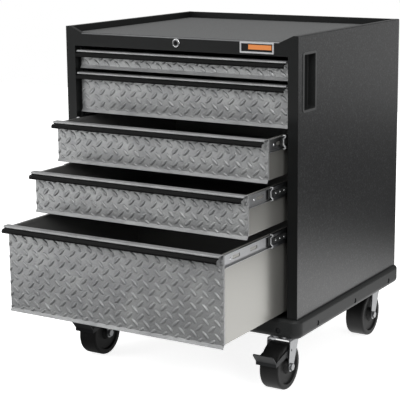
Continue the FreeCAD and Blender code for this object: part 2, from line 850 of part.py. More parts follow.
def make_drawer_pull(index):
    # Black strip that hangs from under the flange and flares forward for the fingers.
    top = drawer_top(index)
    edge = face_of(index) - flange_reach + front_sheet
    tip = face_of(index) - pull_reach
    under = top - front_sheet
    outline = [(edge + 11.0, under), (edge, under), (edge, top - flange_hem - 1.8),
               (tip + 2.6, top - flange_hem - 3.2), (tip, top - pull_height + 4.2),
               (tip + 1.6, top - pull_height)]
    half = front_half - pull_end_gap
    return along_x(sheet_face(outline, -pull_sheet, bend_round * 0.9), -half, 2.0 * half)


def box_levels(index):
    return lip_bottom(index) + box_bottom_rise, drawer_top(index) - box_top_drop


def make_drawer_box(index):
    # Sheets welded into a tray, open at the top: two sides with a folded top edge and a bend
    # at the foot, a floor, and a front and back wall. A catch of two flats stands behind it
    # for the lock.
    low, high = box_levels(index)
    t = box_sheet
    front = face_of(index) + front_sheet
    rear = face_of(index) + box_depth
    outline = [(-box_half, high), (-box_half, low), (box_half, low), (box_half, high)]
    folded = along_y(sheet_face(outline, -t, bend_round), front, rear - front)
    wall_low = low + t
    inner = box_half - t
    front_wall = box(-inner, inner, front, front + t, wall_low, high)
    rear_wall = box(-inner, inner, rear - t, rear, wall_low, high)
    hem = box(inner - t, inner, front + t, rear - t, high - box_hem, high)
    foot = inner - bend_round
    floor = folded.common(box(-foot, foot, front, rear, low, high))
    side = folded.common(box(foot, box_half, front, rear, low, high)).fuse(hem)
    base = hook_base(index) - catch_height
    stand = rear + lock_catch_reach()
    shelf = box(-hook_width, hook_width, rear, stand, base - catch_sheet, base)
    upstand = box(-hook_width, hook_width, stand - catch_sheet, stand, base, base + catch_height)
    sheets = [floor, front_wall, rear_wall] + both_sides(side.removeSplitter())
    return Part.makeCompound(sheets + [shelf, upstand])


def lock_catch_reach():
    # The catch stands between the hook's finger and the bar when the drawer is closed.
    closed_rear = face_plane + box_depth
    return lock_bar_front - hook_reach + 2.0 * catch_sheet + catch_play - closed_rear


def make_drawer_liner(index):
    low, high = box_levels(index)
    side = box_half - box_sheet - bend_round - liner_gap
    front = face_of(index) + front_sheet + box_sheet + liner_gap
    rear = face_of(index) + box_depth - box_sheet - liner_gap
    outline = rectangle(-side, side, front, rear)
    return along_z(plate_face(outline, corner_round), low + box_sheet, liner_thickness)


# Slides. The outlines start at the drawer's side, and open towards it or the cabinet.

def slide_centre(index):
    return drawer_top(index) - slide_drop


def with_slots(member, x, start, middle):
    # Access slots along a member's web, for its screws and its welding.
    cuts = []
    step = slide_length / (slide_slots + 1.0)
    for place in range(slide_slots):
        y = start + step * (place + 0.5)
        cuts.append(box(x - 3.0, x + 3.0, y, y + slot_length, middle - slot_height / 2.0,
                        middle + slot_height / 2.0))
    return member.cut(cuts)


def make_cabinet_member(index):
    middle = slide_centre(index)
    half = cabinet_member_height / 2.0
    x = upright_face
    tip = box_half + 4.0
    outline = [(tip, middle - half), (x, middle - half), (x, middle + half), (tip, middle + half)]
    member = along_y(sheet_face(outline, -slide_sheet, bend_round), slide_setback, slide_length)
    return with_slots(member, x, slide_setback, middle)


def make_middle_member(index):
    # Ball races top and bottom, and a web that steps towards the drawer between them.
    middle = slide_centre(index)
    half = middle_member_height / 2.0
    x = upright_face - slide_sheet - race_gap
    tip = box_half + slide_sheet + race_gap
    step = 2.2
    outline = [(tip, middle - half), (x, middle - half), (x, middle - half + 7.5),
               (x - step, middle - half + 10.0), (x - step, middle + half - 10.0),
               (x, middle + half - 7.5), (x, middle + half), (tip, middle + half)]
    face = sheet_face(outline, -slide_sheet, bend_round)
    return along_y(face, middle_front[index], middle_length)


def make_drawer_member(index):
    middle = slide_centre(index)
    half = drawer_member_height / 2.0
    x = box_half
    tip = box_half + drawer_member_reach
    outline = [(tip, middle + half), (x, middle + half), (x, middle - half), (tip, middle - half)]
    start = face_of(index) + drawer_member_setback
    member = along_y(sheet_face(outline, -slide_sheet, bend_round), start, slide_length)
    return with_slots(member, x, start, middle)


# The whole cabinet

parts["right_side_panel"] = make_side_panel()
parts["left_side_panel"] = mirrored(parts["right_side_panel"])
parts["back_panel"] = make_back_panel()
parts["front_frame"] = make_front_frame()
parts["top_tray"] = make_top_tray()
parts["top_mat"] = make_top_mat()
parts["floor_pan"] = make_floor_pan()
parts["side_hand_holds"] = make_hand_holds()
parts["badge_plate"] = make_badge()
parts["slide_uprights"] = make_slide_uprights()
parts["lock_bezel"] = make_lock_bezel()
parts["lock_cylinder"] = make_lock_cylinder()
parts["lock_rod"] = make_lock_rod()
parts["lock_bar"] = make_lock_bar()

cabinet_members = []
for index in range(len(drawer_units)):
    name = "drawer_%d" % (index + 1)
    parts[name + "_front"] = make_drawer_front(index)
    parts[name + "_pull"] = make_drawer_pull(index)
    parts[name + "_box"] = make_drawer_box(index)
    parts[name + "_liner"] = make_drawer_liner(index)
    parts[name + "_slide_members"] = Part.makeCompound(both_sides(make_drawer_member(index)))
    parts[name + "_middle_slides"] = Part.makeCompound(both_sides(make_middle_member(index)))
    cabinet_members += both_sides(make_cabinet_member(index))
parts["cabinet_slide_members"] = Part.makeCompound(cabinet_members)

caster_plate = make_caster_plate()
wheel = make_wheel()
brake = make_brake()
plates = []
for corner, (x, y) in caster_places().items():
    here = Vector(x, y, 0)
    braked = corner.startswith("front")
    plates.append(caster_plate.translated(here))
    parts[corner + "_fork"] = make_fork(braked).translated(here)
    parts[corner + "_wheel"] = wheel.translated(here)
    if braked:
        parts[corner + "_brake"] = brake.translated(here)
parts["caster_plates"] = Part.makeCompound(plates)
parts["caster_bolts"] = make_caster_bolts()

# Centre the stored cabinet's box over the origin.
foremost = min(shape.BoundBox.YMin for shape in parts.values())
rearmost = body_depth + skirt_reach
front_plane = -(foremost + rearmost) / 2.0

os.makedirs("parts", exist_ok=True)
for name, shape in parts.items():
    shape.translate(Vector(0, front_plane, 0))
    shape.exportStep("parts/%s.step" % name)
print("front plane at y = %.3f" % front_plane)
print("%d nodes" % len(parts))
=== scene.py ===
import bpy
import bmesh
import math
from mathutils import Matrix, Vector


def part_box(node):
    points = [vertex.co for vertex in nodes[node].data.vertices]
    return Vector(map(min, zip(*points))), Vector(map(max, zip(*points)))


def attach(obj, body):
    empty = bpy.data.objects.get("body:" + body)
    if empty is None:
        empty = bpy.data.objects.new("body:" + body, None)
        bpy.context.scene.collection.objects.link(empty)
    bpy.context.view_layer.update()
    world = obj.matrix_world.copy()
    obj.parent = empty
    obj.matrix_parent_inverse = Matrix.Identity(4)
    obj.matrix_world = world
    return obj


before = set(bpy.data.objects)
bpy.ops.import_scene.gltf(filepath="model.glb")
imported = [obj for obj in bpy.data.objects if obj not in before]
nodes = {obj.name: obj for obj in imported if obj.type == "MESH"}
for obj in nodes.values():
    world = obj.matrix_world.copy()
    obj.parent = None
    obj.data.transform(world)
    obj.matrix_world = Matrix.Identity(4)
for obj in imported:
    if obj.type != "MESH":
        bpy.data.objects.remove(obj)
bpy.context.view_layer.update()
print("frame loaded:", len(nodes), "pieces")

mm = 0.001
drawerNames = ["drawer_1", "drawer_2", "drawer_3", "drawer_4", "drawer_5"]
cornerNames = ["front_left", "front_right", "rear_left", "rear_right"]


# Helpers for colour, materials and pieces

def linearColour(hexText):
    # sRGB hex to the linear values that the shaders work in.
    out = []
    for i in (0, 2, 4):
        c = int(hexText.lstrip("#")[i:i + 2], 16) / 255.0
        out.append(c / 12.92 if c <= 0.04045 else ((c + 0.055) / 1.055) ** 2.4)
    return (out[0], out[1], out[2], 1.0)


def addNode(tree, kind, settings=None, links=None):
    node = tree.nodes.new(kind)
    for key, value in (settings or {}).items():
        if isinstance(key, int) or key in node.inputs:
            node.inputs[key].default_value = value
        else:
            setattr(node, key, value)
    for key, socket in (links or {}).items():
        tree.links.new(socket, node.inputs[key])
    return node


def newMaterial(finish):
    material = bpy.data.materials.new(finish["name"])
    material.use_nodes = True
    tree = material.node_tree
    shader = tree.nodes["Principled BSDF"]
    shader.inputs["Base Color"].default_value = linearColour(finish["colour"])
    shader.inputs["Metallic"].default_value = finish.get("metallic", 0.0)
    shader.inputs["Roughness"].default_value = finish["roughness"]
    if "specular" in finish:
        shader.inputs["Specular IOR Level"].default_value = finish["specular"]
    material.diffuse_color = linearColour(finish["colour"])
    coords = addNode(tree, "ShaderNodeTexCoord").outputs["Object"]
    return material, tree, shader, coords


def tintBase(tree, shader, factor, tones):
    # The base colour runs through these stops of place and colour as the factor rises.
    ramp = addNode(tree, "ShaderNodeValToRGB", links={"Fac": factor})
    elements = ramp.color_ramp.elements
    while len(elements) < len(tones):
        elements.new(0.5)
    for element, (place, colour) in zip(elements, tones):
        element.position = place
        element.color = linearColour(colour)
    tree.links.new(ramp.outputs["Color"], shader.inputs["Base Color"])


def addGrain(tree, shader, coords, finish):
    # Surface grain of a real size, as bump on the shader's normal.
    noise = addNode(tree, "ShaderNodeTexNoise", {"Scale": 1.0 / finish["grain"],
                    "Detail": finish.get("grainDetail", 2.0)}, {"Vector": coords})
    bump = addNode(tree, "ShaderNodeBump", {"Strength": finish["grainStrength"],
                   "Distance": finish["grainDepth"]}, {"Height": noise.outputs["Fac"]})
    tree.links.new(bump.outputs["Normal"], shader.inputs["Normal"])
    return noise.outputs["Fac"]


def makeFinish(finish):
    # Tones follow the finish's own flecks or clouds where it has them, or else its grain.
    material, tree, shader, coords = newMaterial(finish)
    factor = addGrain(tree, shader, coords, finish)
    if "cloud" in finish:
        noise = addNode(tree, "ShaderNodeTexNoise", {"Scale": 1.0 / finish["cloud"],
                        "Detail": finish["cloudDetail"]}, {"Vector": coords})
        if "cloudRoughness" in finish:
            noise.inputs["Roughness"].default_value = finish["cloudRoughness"]
        factor = noise.outputs["Fac"]
    if "tones" in finish:
        tintBase(tree, shader, factor, finish["tones"])
    return material


def finishNodes(material, *names):
    for name in names:
        data = nodes[name].data
        data.materials.clear()
        data.materials.append(material)


def pieceFromMesh(name, bm, material, body, smooth=True):
    mesh = bpy.data.meshes.new(name)
    bm.normal_update()
    bm.to_mesh(mesh)
    bm.free()
    for polygon in mesh.polygons:
        polygon.use_smooth = smooth
    piece = bpy.data.objects.new(name, mesh)
    bpy.context.scene.collection.objects.link(piece)
    piece.data.materials.append(material)
    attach(piece, body)
    return piece


# Camera, solved from the photo's corners

camera = {"place": (1.7676, -2.9062, 1.1793), "turn": 0.5271, "tilt": 0.1942, "roll": -0.0049,
          "sensor": 36.0, "lens": 116.625, "shiftX": -0.080, "shiftY": -0.065, "reach": 60.0}

cameraData = bpy.data.cameras.new("camera")
cameraData.sensor_width = camera["sensor"]
cameraData.lens = camera["lens"]
cameraData.shift_x = camera["shiftX"]
cameraData.shift_y = camera["shiftY"]
cameraData.clip_end = camera["reach"]
cameraObject = bpy.data.objects.new("camera", cameraData)
bpy.context.scene.collection.objects.link(cameraObject)
cameraObject.matrix_world = (Matrix.Translation(camera["place"])
                             @ Matrix.Rotation(camera["turn"], 4, "Z")
                             @ Matrix.Rotation(math.pi / 2 - camera["tilt"], 4, "X")
                             @ Matrix.Rotation(camera["roll"], 4, "Z"))
bpy.context.scene.camera = cameraObject
print("camera set")


# Finishes of one colour, or of tones that follow flecks, clouds or grain. Sizes are the real
# ones, unless a comment says that they are drawn coarser.

# Hammered powder coat on the side panels: grey flecks in near-black and a low sheen. The
# flecks of about 1 mm are drawn at 4 mm so that they show.
hammeredPaint = makeFinish({
    "name": "hammered speckled powder coat", "colour": "#3b3c3d", "roughness": 0.28,
    "specular": 0.45, "cloud": 4.0 * mm, "cloudDetail": 4.0, "cloudRoughness": 0.7,
    "tones": [(0.35, "#121314"), (0.52, "#1d1e1f"), (0.68, "#4c4d4e")],
    "grain": 3.0 * mm, "grainStrength": 0.25, "grainDepth": 0.3 * mm, "grainDetail": 3.0})

# Satin powder coat on folded steel: near-black, with a soft broad sheen.
blackCoat = makeFinish({
    "name": "satin black powder coat", "colour": "#1b1c1c", "roughness": 0.36, "specular": 0.2,
    "tones": [(0.3, "#121313"), (0.7, "#181919")],
    "grain": 1.2 * mm, "grainStrength": 0.12, "grainDepth": 0.1 * mm})

# The same coat painted greyer as a painted highlight: the clear line of light along the rail's
# folded edge.
railHighlightCoat = makeFinish({
    "name": "highlight painted powder coat", "colour": "#707172", "metallic": 0.3, "roughness": 0.3,
    "grain": 1.2 * mm, "grainStrength": 0.08, "grainDepth": 0.1 * mm})

# Silver coat over pressed treadplate: bright, slightly uneven, with soft reflections. The
# rolled grain is finer than it is drawn: 4 mm is the least that shows.
treadplate = makeFinish({
    "name": "silver coated treadplate", "colour": "#b4b5b5", "metallic": 0.55,
    "roughness": 0.38, "cloud": 60.0 * mm, "cloudDetail": 3.0,
    "tones": [(0.3, "#8f9091"), (0.7, "#a6a7a7")],
    "grain": 4.0 * mm, "grainStrength": 0.85, "grainDepth": 1.4 * mm})

# Matt enamel on the pulls: the darkest piece, with hardly any shine.
pullCoat = makeFinish({
    "name": "matt black enamel", "colour": "#0c0c0c", "roughness": 0.5, "specular": 0.12,
    "grain": 1.0 * mm, "grainStrength": 0.08, "grainDepth": 0.1 * mm})

# Zinc plate, lightly clouded: bright on the fixed slide members and plates, duller on the
# forks, and painted dark on the moving slide members as painted shade, for the frame's shade
# and the black posts that they mirror.
zincPlate = {"name": "zinc plated steel", "metallic": 1.0, "roughness": 0.3,
             "cloud": 12.0 * mm, "cloudDetail": 3.0,
             "grain": 1.0 * mm, "grainStrength": 0.1, "grainDepth": 0.08 * mm}
zincSteel = makeFinish({**zincPlate, "colour": "#a9aaac",
                        "tones": [(0.3, "#a5a6a8"), (0.7, "#aeafb0")]})
casterZinc = makeFinish({**zincPlate, "colour": "#87888a",
                         "tones": [(0.3, "#838486"), (0.7, "#8c8d8e")]})
shadedZinc = makeFinish({**zincPlate, "colour": "#5c5d5f",
                       "tones": [(0.3, "#58595b"), (0.7, "#626365")]})

# Satin zinc on the slides' rolled ends, painted paler than the plated faces as a painted
# highlight.
slideCurlHighlight = makeFinish({
    "name": "highlight painted zinc edge", "colour": "#c8c9ca", "metallic": 0.2, "roughness": 0.4,
    "grain": 1.0 * mm, "grainStrength": 0.1, "grainDepth": 0.08 * mm})

# Moulded polypropylene for the skirt and the hand-holds: fine grain and a dull sheen.
mouldedPlastic = makeFinish({
    "name": "grained black polypropylene", "colour": "#212222", "roughness": 0.48,
    "specular": 0.25, "tones": [(0.3, "#1c1d1d"), (0.7, "#272828")],
    "grain": 1.8 * mm, "grainStrength": 0.3, "grainDepth": 0.2 * mm})

# The same plastic painted a little paler, with a clearer shine, as a painted highlight along
# the hand-holds' rims.
holdRimHighlightPlastic = makeFinish({
    "name": "highlight painted polypropylene", "colour": "#4c4d4d", "roughness": 0.35,
    "grain": 1.8 * mm, "grainStrength": 0.1, "grainDepth": 0.2 * mm})

# Hard moulded rubber wheels: near-black and dull all over.
wheelRubber = makeFinish({
    "name": "hard moulded rubber", "colour": "#121212", "roughness": 0.55, "specular": 0.22,
    "tones": [(0.3, "#0e0e0e"), (0.7, "#171717")],
    "grain": 1.5 * mm, "grainStrength": 0.3, "grainDepth": 0.2 * mm})

# Polished chrome plate on brass: a near mirror.
chrome = makeFinish({
    "name": "polished chrome plate", "colour": "#d4d5d6", "metallic": 1.0, "roughness": 0.12,
    "grain": 4.0 * mm, "grainStrength": 0.03, "grainDepth": 0.05 * mm})

# Chrome on the lock's turning face, painted dark as a painted reflection of the dark that its
# centre mirrors.
darkReflectionChrome = makeFinish({
    "name": "chrome with painted dark reflection", "colour": "#3c3c3e", "metallic": 1.0, "roughness": 0.18,
    "grain": 0.8 * mm, "grainStrength": 0.05, "grainDepth": 0.05 * mm})

# Black oxide on screws, the lock's rod and bar, and the brake pedals: oily dark steel.
blackOxide = makeFinish({
    "name": "black oxide steel", "colour": "#18191b", "metallic": 0.5, "roughness": 0.5,
    "grain": 1.2 * mm, "grainStrength": 0.15, "grainDepth": 0.1 * mm})


# Warm grey metallic coat on the drawer boxes: smooth, so it mirrors the black posts softly. The
# inner faces are painted a little darker as painted shade inside the box. Outer faces stand out
# past the sheet's middle, and rims face up; these keep the unshaded colour.

drawerFinish = {"name": "warm grey metallic coat", "colour": "#a5a49f", "inside": "#8c8c8b",
                "metallic": 0.6, "roughness": 0.27, "sheetMiddle": 303.55 * mm, "rimSlope": 0.6,
                "grain": 1.5 * mm, "grainStrength": 0.08, "grainDepth": 0.1 * mm}


def makeDrawerCoat():
    material, tree, shader, coords = newMaterial(drawerFinish)
    split = addNode(tree, "ShaderNodeSeparateXYZ", links={0: coords})
    reach = addNode(tree, "ShaderNodeMath", {"operation": "ABSOLUTE"},
                    {0: split.outputs["X"]})
    outside = addNode(tree, "ShaderNodeMath", {"operation": "GREATER_THAN",
                      1: drawerFinish["sheetMiddle"]}, {0: reach.outputs[0]})
    normal = addNode(tree, "ShaderNodeTexCoord").outputs["Normal"]
    facing = addNode(tree, "ShaderNodeSeparateXYZ", links={0: normal})
    upward = addNode(tree, "ShaderNodeMath", {"operation": "GREATER_THAN",
                     1: drawerFinish["rimSlope"]}, {0: facing.outputs["Z"]})
    bare = addNode(tree, "ShaderNodeMath", {"operation": "MAXIMUM"},
                   {0: outside.outputs[0], 1: upward.outputs[0]})
    # Inner faces below the rims take the darker colour as painted shade.
    mix = addNode(tree, "ShaderNodeMix", {"data_type": "RGBA",
                  6: linearColour(drawerFinish["inside"]),
                  7: linearColour(drawerFinish["colour"])}, {0: bare.outputs[0]})
    tree.links.new(mix.outputs[2], shader.inputs["Base Color"])
    addGrain(tree, shader, coords, drawerFinish)
    return material


# Pressed rubber mat: mid grey and quite dull, with a fine pebble. The real pebbles are
# smaller than the 4 mm at which they are drawn, so that they show.

matFinish = {"name": "textured rubber mat", "colour": "#585959", "roughness": 0.65,
             "pebble": 4.0 * mm, "pebbleStrength": 0.4, "pebbleDepth": 0.6 * mm,
             "tones": [(0.1, "#444545"), (0.6, "#5b5c5c")]}


def makeRubberMat():
    material, tree, shader, coords = newMaterial(matFinish)
    pebbles = addNode(tree, "ShaderNodeTexVoronoi", {"Scale": 1.0 / matFinish["pebble"]},
                      {"Vector": coords})
    tintBase(tree, shader, pebbles.outputs["Distance"], matFinish["tones"])
    bump = addNode(tree, "ShaderNodeBump", {"Strength": matFinish["pebbleStrength"],
                   "Distance": matFinish["pebbleDepth"]},
                   {"Height": pebbles.outputs["Distance"]})
    tree.links.new(bump.outputs["Normal"], shader.inputs["Normal"])
    return material


# Foam rubber liner: dark grey and dull, with ribs. They are about 4 mm apart and are drawn
# at 7.9 mm so that they show.

linerFinish = {"name": "ribbed foam rubber", "colour": "#5a5a5a", "roughness": 0.8,
               "ribPitch": 7.9 * mm, "ribStrength": 0.6, "ribDepth": 0.8 * mm}


def makeFoamLiner():
    material, tree, shader, coords = newMaterial(linerFinish)
    # A wave texture repeats 20 times in 2 pi at a scale of 1.
    scale = 2 * math.pi / 20 / linerFinish["ribPitch"]
    ribs = addNode(tree, "ShaderNodeTexWave", {"Scale": scale, "bands_direction": "X"},
                   {"Vector": coords})
    bump = addNode(tree, "ShaderNodeBump", {"Strength": linerFinish["ribStrength"],
                   "Distance": linerFinish["ribDepth"]}, {"Height": ribs.outputs["Fac"]})
    tree.links.new(bump.outputs["Normal"], shader.inputs["Normal"])
    return material


# Anodised badge plate: a printed black field inside a bare silver border.

badgeFinish = {"name": "printed anodised plate", "colour": "#c9cacb", "field": "#1c1c1c",
               "metallic": 0.7, "roughness": 0.35, "border": 4.2 * mm,
               "grain": 1.0 * mm, "grainStrength": 0.08, "grainDepth": 0.05 * mm}
badgeLow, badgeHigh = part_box("badge_plate")


def makeBadgePrint():
    material, tree, shader, coords = newMaterial(badgeFinish)
    split = addNode(tree, "ShaderNodeSeparateXYZ", links={0: coords})
    inside = []
    for axis, low, high in (("X", badgeLow.x, badgeHigh.x), ("Z", badgeLow.z, badgeHigh.z)):
        half = (high - low) / 2 - badgeFinish["border"]
        away = addNode(tree, "ShaderNodeMath", {"operation": "SUBTRACT", 1: (low + high) / 2},
                       {0: split.outputs[axis]})
        size = addNode(tree, "ShaderNodeMath", {"operation": "ABSOLUTE"}, {0: away.outputs[0]})
        inside.append(addNode(tree, "ShaderNodeMath", {"operation": "LESS_THAN", 1: half},
                              {0: size.outputs[0]}))
    field = addNode(tree, "ShaderNodeMath", {"operation": "MULTIPLY"},
                    {0: inside[0].outputs[0], 1: inside[1].outputs[0]})
    mix = addNode(tree, "ShaderNodeMix", {"data_type": "RGBA",
                  6: linearColour(badgeFinish["colour"]),
                  7: linearColour(badgeFinish["field"])}, {0: field.outputs[0]})
    tree.links.new(mix.outputs[2], shader.inputs["Base Color"])
    addGrain(tree, shader, coords, badgeFinish)
    return material


drawerCoat = makeDrawerCoat()
foamLiner = makeFoamLiner()

finishNodes(hammeredPaint, "left_side_panel", "right_side_panel")
finishNodes(blackCoat, "front_frame", "back_panel", "top_tray", "floor_pan", "slide_uprights")
finishNodes(mouldedPlastic, "base_skirt", "side_hand_holds")
finishNodes(makeRubberMat(), "top_mat")
finishNodes(blackOxide, "skirt_screws", "lock_rod", "lock_bar", "front_left_brake",
            "front_right_brake")
finishNodes(chrome, "lock_bezel")
finishNodes(darkReflectionChrome, "lock_cylinder")
finishNodes(makeBadgePrint(), "badge_plate")
finishNodes(zincSteel, "cabinet_slide_members", "caster_plates", "caster_bolts")
for name in drawerNames:
    finishNodes(treadplate, name + "_front")
    finishNodes(pullCoat, name + "_pull")
    finishNodes(drawerCoat, name + "_box")
    finishNodes(foamLiner, name + "_liner")
    finishNodes(zincSteel, name + "_slide_members")
    # The moving members' dark zinc is painted shade.
    finishNodes(shadedZinc, name + "_middle_slides")
for name in cornerNames:
    finishNodes(casterZinc, name + "_fork")
    finishNodes(wheelRubber, name + "_wheel")
print("finishes made")


# Mesh helpers

def bridgeRings(bm, rings):
    # Quads from each ring of points to the next.
    for first, second in zip(rings, rings[1:]):
        for i in range(len(first)):
            j = (i + 1) % len(first)
            bm.faces.new((first[i], first[j], second[j], second[i]))


def addBlock(bm, low, high):
    size = [b - a for a, b in zip(low, high)]
    middle = [(a + b) / 2 for a, b in zip(low, high)]
    bmesh.ops.create_cube(bm, size=1.0, matrix=Matrix.Translation(middle)
                          @ Matrix.Diagonal((*size, 1.0)))


def addRibbon(bm, outline, thick, front, back):
    # A strip that follows an outline in x and z, from one y to another.
    inner = []
    for i, (x, z) in enumerate(outline):
        x0, z0 = outline[max(i - 1, 0)]
        x1, z1 = outline[min(i + 1, len(outline) - 1)]
        length = math.hypot(x1 - x0, z1 - z0)
        inner.append((x - (z1 - z0) / length * thick, z + (x1 - x0) / length * thick))
    section = outline + inner[::-1]
    rings = [[bm.verts.new((x, y, z)) for x, z in section] for y in (front, back)]
    bridgeRings(bm, rings)
    count = len(section)
    for ring in rings:
        for i in range(len(outline) - 1):
            bm.faces.new((ring[i], ring[i + 1], ring[count - 2 - i], ring[count - 1 - i]))
    bmesh.ops.recalc_face_normals(bm, faces=bm.faces)


def roundedOutline(low, high, radius, steps):
    # Corner points of a rounded rectangle, anticlockwise in its own plane.
    points = []
    for i, (a, b) in enumerate(((high[0], high[1]), (low[0], high[1]),
                                (low[0], low[1]), (high[0], low[1]))):
        centreA = a - radius if i in (0, 3) else a + radius
        centreB = b - radius if i in (0, 1) else b + radius
        for k in range(steps + 1):
            angle = (i + k / steps) * math.pi / 2
            points.append((centreA + radius * math.cos(angle),
                           centreB + radius * math.sin(angle)))
    return points


def addPlate(bm, outline, inner, outer):
    # A flat plate with this outline in y and z, from one x to another.
    rings = [[bm.verts.new((x, y, z)) for y, z in outline] for x in (inner, outer)]
    bridgeRings(bm, rings)
    bm.faces.new(rings[0][::-1])
    bm.faces.new(rings[1])
    bmesh.ops.recalc_face_normals(bm, faces=bm.faces)


def bothSides(bm):
    # Mirrors what is in bm to the left side of the cabinet.
    copies = bmesh.ops.duplicate(bm, geom=bm.verts[:] + bm.edges[:] + bm.faces[:])["geom"]
    verts = [item for item in copies if isinstance(item, bmesh.types.BMVert)]
    faces = [item for item in copies if isinstance(item, bmesh.types.BMFace)]
    bmesh.ops.scale(bm, vec=(-1.0, 1.0, 1.0), verts=verts)
    bmesh.ops.reverse_faces(bm, faces=faces)


# Raised bars of the treadplate fronts, in two slopes that take turns

tread = {"pitch": 33.0 * mm, "length": 26.0 * mm, "width": 10.4 * mm, "height": 2.5 * mm,
         "sunk": 0.25 * mm, "alongSteps": 10, "acrossSteps": 6, "endMargin": 1.0 * mm,
         "flangeReach": 19.8 * mm, "lipHeight": 9.5 * mm, "topMargin": 2.0 * mm,
         "tipShape": 0.6, "riseShape": 4, "backShape": 0.7, "cutShare": 0.36,
         "weld": 0.02 * mm}
diagonal = 0.7071  # cosine of 45 degrees, at which the bars lie


def addTreadBar(bm, centreX, faceY, centreZ, slope):
    # One bar: a leaf outline with a rounded back, closed underneath.
    rings = []
    for i in range(tread["alongSteps"] + 1):
        u = -1.0 + 2.0 * i / tread["alongSteps"]
        spread = tread["width"] / 2 * max(1.0 - u * u, 0.0) ** tread["tipShape"]
        rise = tread["height"] * max(1.0 - u ** tread["riseShape"], 0.0)
        ring = []
        for j in range(tread["acrossSteps"] + 1):
            v = -1.0 + 2.0 * j / tread["acrossSteps"]
            along = u * tread["length"] / 2
            across = v * spread
            x = centreX + (along - across * slope) * diagonal
            z = centreZ + (along * slope + across) * diagonal
            back = (1.0 - v * v) ** tread["backShape"]
            y = faceY + tread["sunk"] - (rise + tread["sunk"]) * back
            ring.append(bm.verts.new((x, y, z)))
        rings.append(ring)
    last = tread["acrossSteps"]
    for first, second in zip(rings, rings[1:]):
        for j in range(last):
            quad = (first[j], first[j + 1], second[j + 1], second[j])
            bm.faces.new(quad if slope > 0 else quad[::-1])
    edge = [ring[0] for ring in rings] + [ring[last] for ring in reversed(rings)]
    bm.faces.new(edge if slope > 0 else edge[::-1])


def makeTreadBars(name):
    low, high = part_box(name + "_front")
    faceY = low.y + tread["flangeReach"]
    left = low.x + tread["endMargin"]
    right = high.x - tread["endMargin"]
    bottom = low.z + tread["lipHeight"]
    top = high.z - tread["topMargin"]
    bm = bmesh.new()
    pitch = tread["pitch"]
    reach = tread["length"] * tread["cutShare"]
    columns = int((right - left) / pitch) + 2
    rows = int((top - bottom) / pitch) + 2
    startX = (left + right) / 2 - columns * pitch / 2
    startZ = top - rows * pitch
    for column in range(columns + 1):
        for row in range(rows + 1):
            for shift, slope in ((0.0, -1.0), (0.5, 1.0)):
                x = startX + (column + shift) * pitch
                z = startZ + (row + shift) * pitch
                if left - reach < x < right + reach and bottom - reach < z < top + reach:
                    addTreadBar(bm, x, faceY, z, slope)
    bmesh.ops.remove_doubles(bm, verts=bm.verts, dist=tread["weld"])
    # The sheet's edges cut through the bars.
    for point, normal in (((left, 0, 0), (-1, 0, 0)), ((right, 0, 0), (1, 0, 0)),
                          ((0, 0, bottom), (0, 0, -1)), ((0, 0, top), (0, 0, 1))):
        cut = bmesh.ops.bisect_plane(bm, geom=bm.verts[:] + bm.edges[:] + bm.faces[:],
                                     plane_co=point, plane_no=normal, clear_outer=True)
        rim = [e for e in cut["geom_cut"] if isinstance(e, bmesh.types.BMEdge)]
        bmesh.ops.holes_fill(bm, edges=rim)
    bmesh.ops.recalc_face_normals(bm, faces=bm.faces)
    pieceFromMesh(name + "_tread_bars", bm, treadplate, name)


for name in drawerNames:
    makeTreadBars(name)
print("treadplate bars made")


# Fittings on the ball-bearing slides

slideCurl = {"length": 3.0 * mm, "overlap": 0.3 * mm, "thick": 1.8 * mm, "depth": 4.6 * mm,
             "corner": 2.0 * mm, "tail": 7.0 * mm, "raceHeight": 7.5 * mm,
             "stepHeight": 10.0 * mm, "slope": 1.5 * mm}
slideBumper = {"length": 14.0 * mm, "thick": 1.5 * mm, "height": 25.0 * mm, "gap": 0.5 * mm,
               "edge": 0.3 * mm}
ballCage = {"webStep": 2.2 * mm, "start": 3.0 * mm, "length": 150.0 * mm,
            "height": 14.0 * mm, "thick": 1.0 * mm, "lift": 0.02 * mm}
slideBalls = {"pitch": 21.0 * mm, "radius": 2.6 * mm, "firstShare": 0.6, "rise": 0.5 * mm,
              "squash": 0.6, "around": 10, "down": 6}
sideSlot = {"memberReach": 7.1 * mm, "front": 8.0 * mm, "back": 4.0 * mm, "drop": 13.0 * mm,
            "climb": 5.0 * mm, "round": 1.9 * mm, "steps": 4, "sunk": 0.3 * mm,
            "proud": 0.12 * mm}
slideScrew = {"radius": 3.4 * mm, "rise": 1.6 * mm, "back": 30.0 * mm, "apart": 224.0 * mm,
              "sheet": 1.2 * mm, "around": 14, "down": 8}


def makeSlideCurls(name, low, outer, middle, half):
    # The rolled front end of the moving member, which catches the light; its pale zinc is a
    # painted highlight.
    curl = slideCurl
    neck = outer - curl["depth"]
    tail = outer - curl["tail"]
    race = half - curl["raceHeight"] + curl["slope"]
    step = half - curl["stepHeight"]
    corner = curl["corner"]
    edge = [(tail, -half), (outer - corner, -half), (outer, -half + corner), (outer, -race),
            (neck, -step), (neck, step), (outer, race), (outer, half - corner),
            (outer - corner, half), (tail, half)]
    bm = bmesh.new()
    addRibbon(bm, [(x, middle + z) for x, z in edge], curl["thick"],
              low.y - curl["length"], low.y + curl["overlap"])
    bothSides(bm)
    pieceFromMesh(name + "_slide_curls", bm, slideCurlHighlight, name + "_middle",
                  smooth=False)


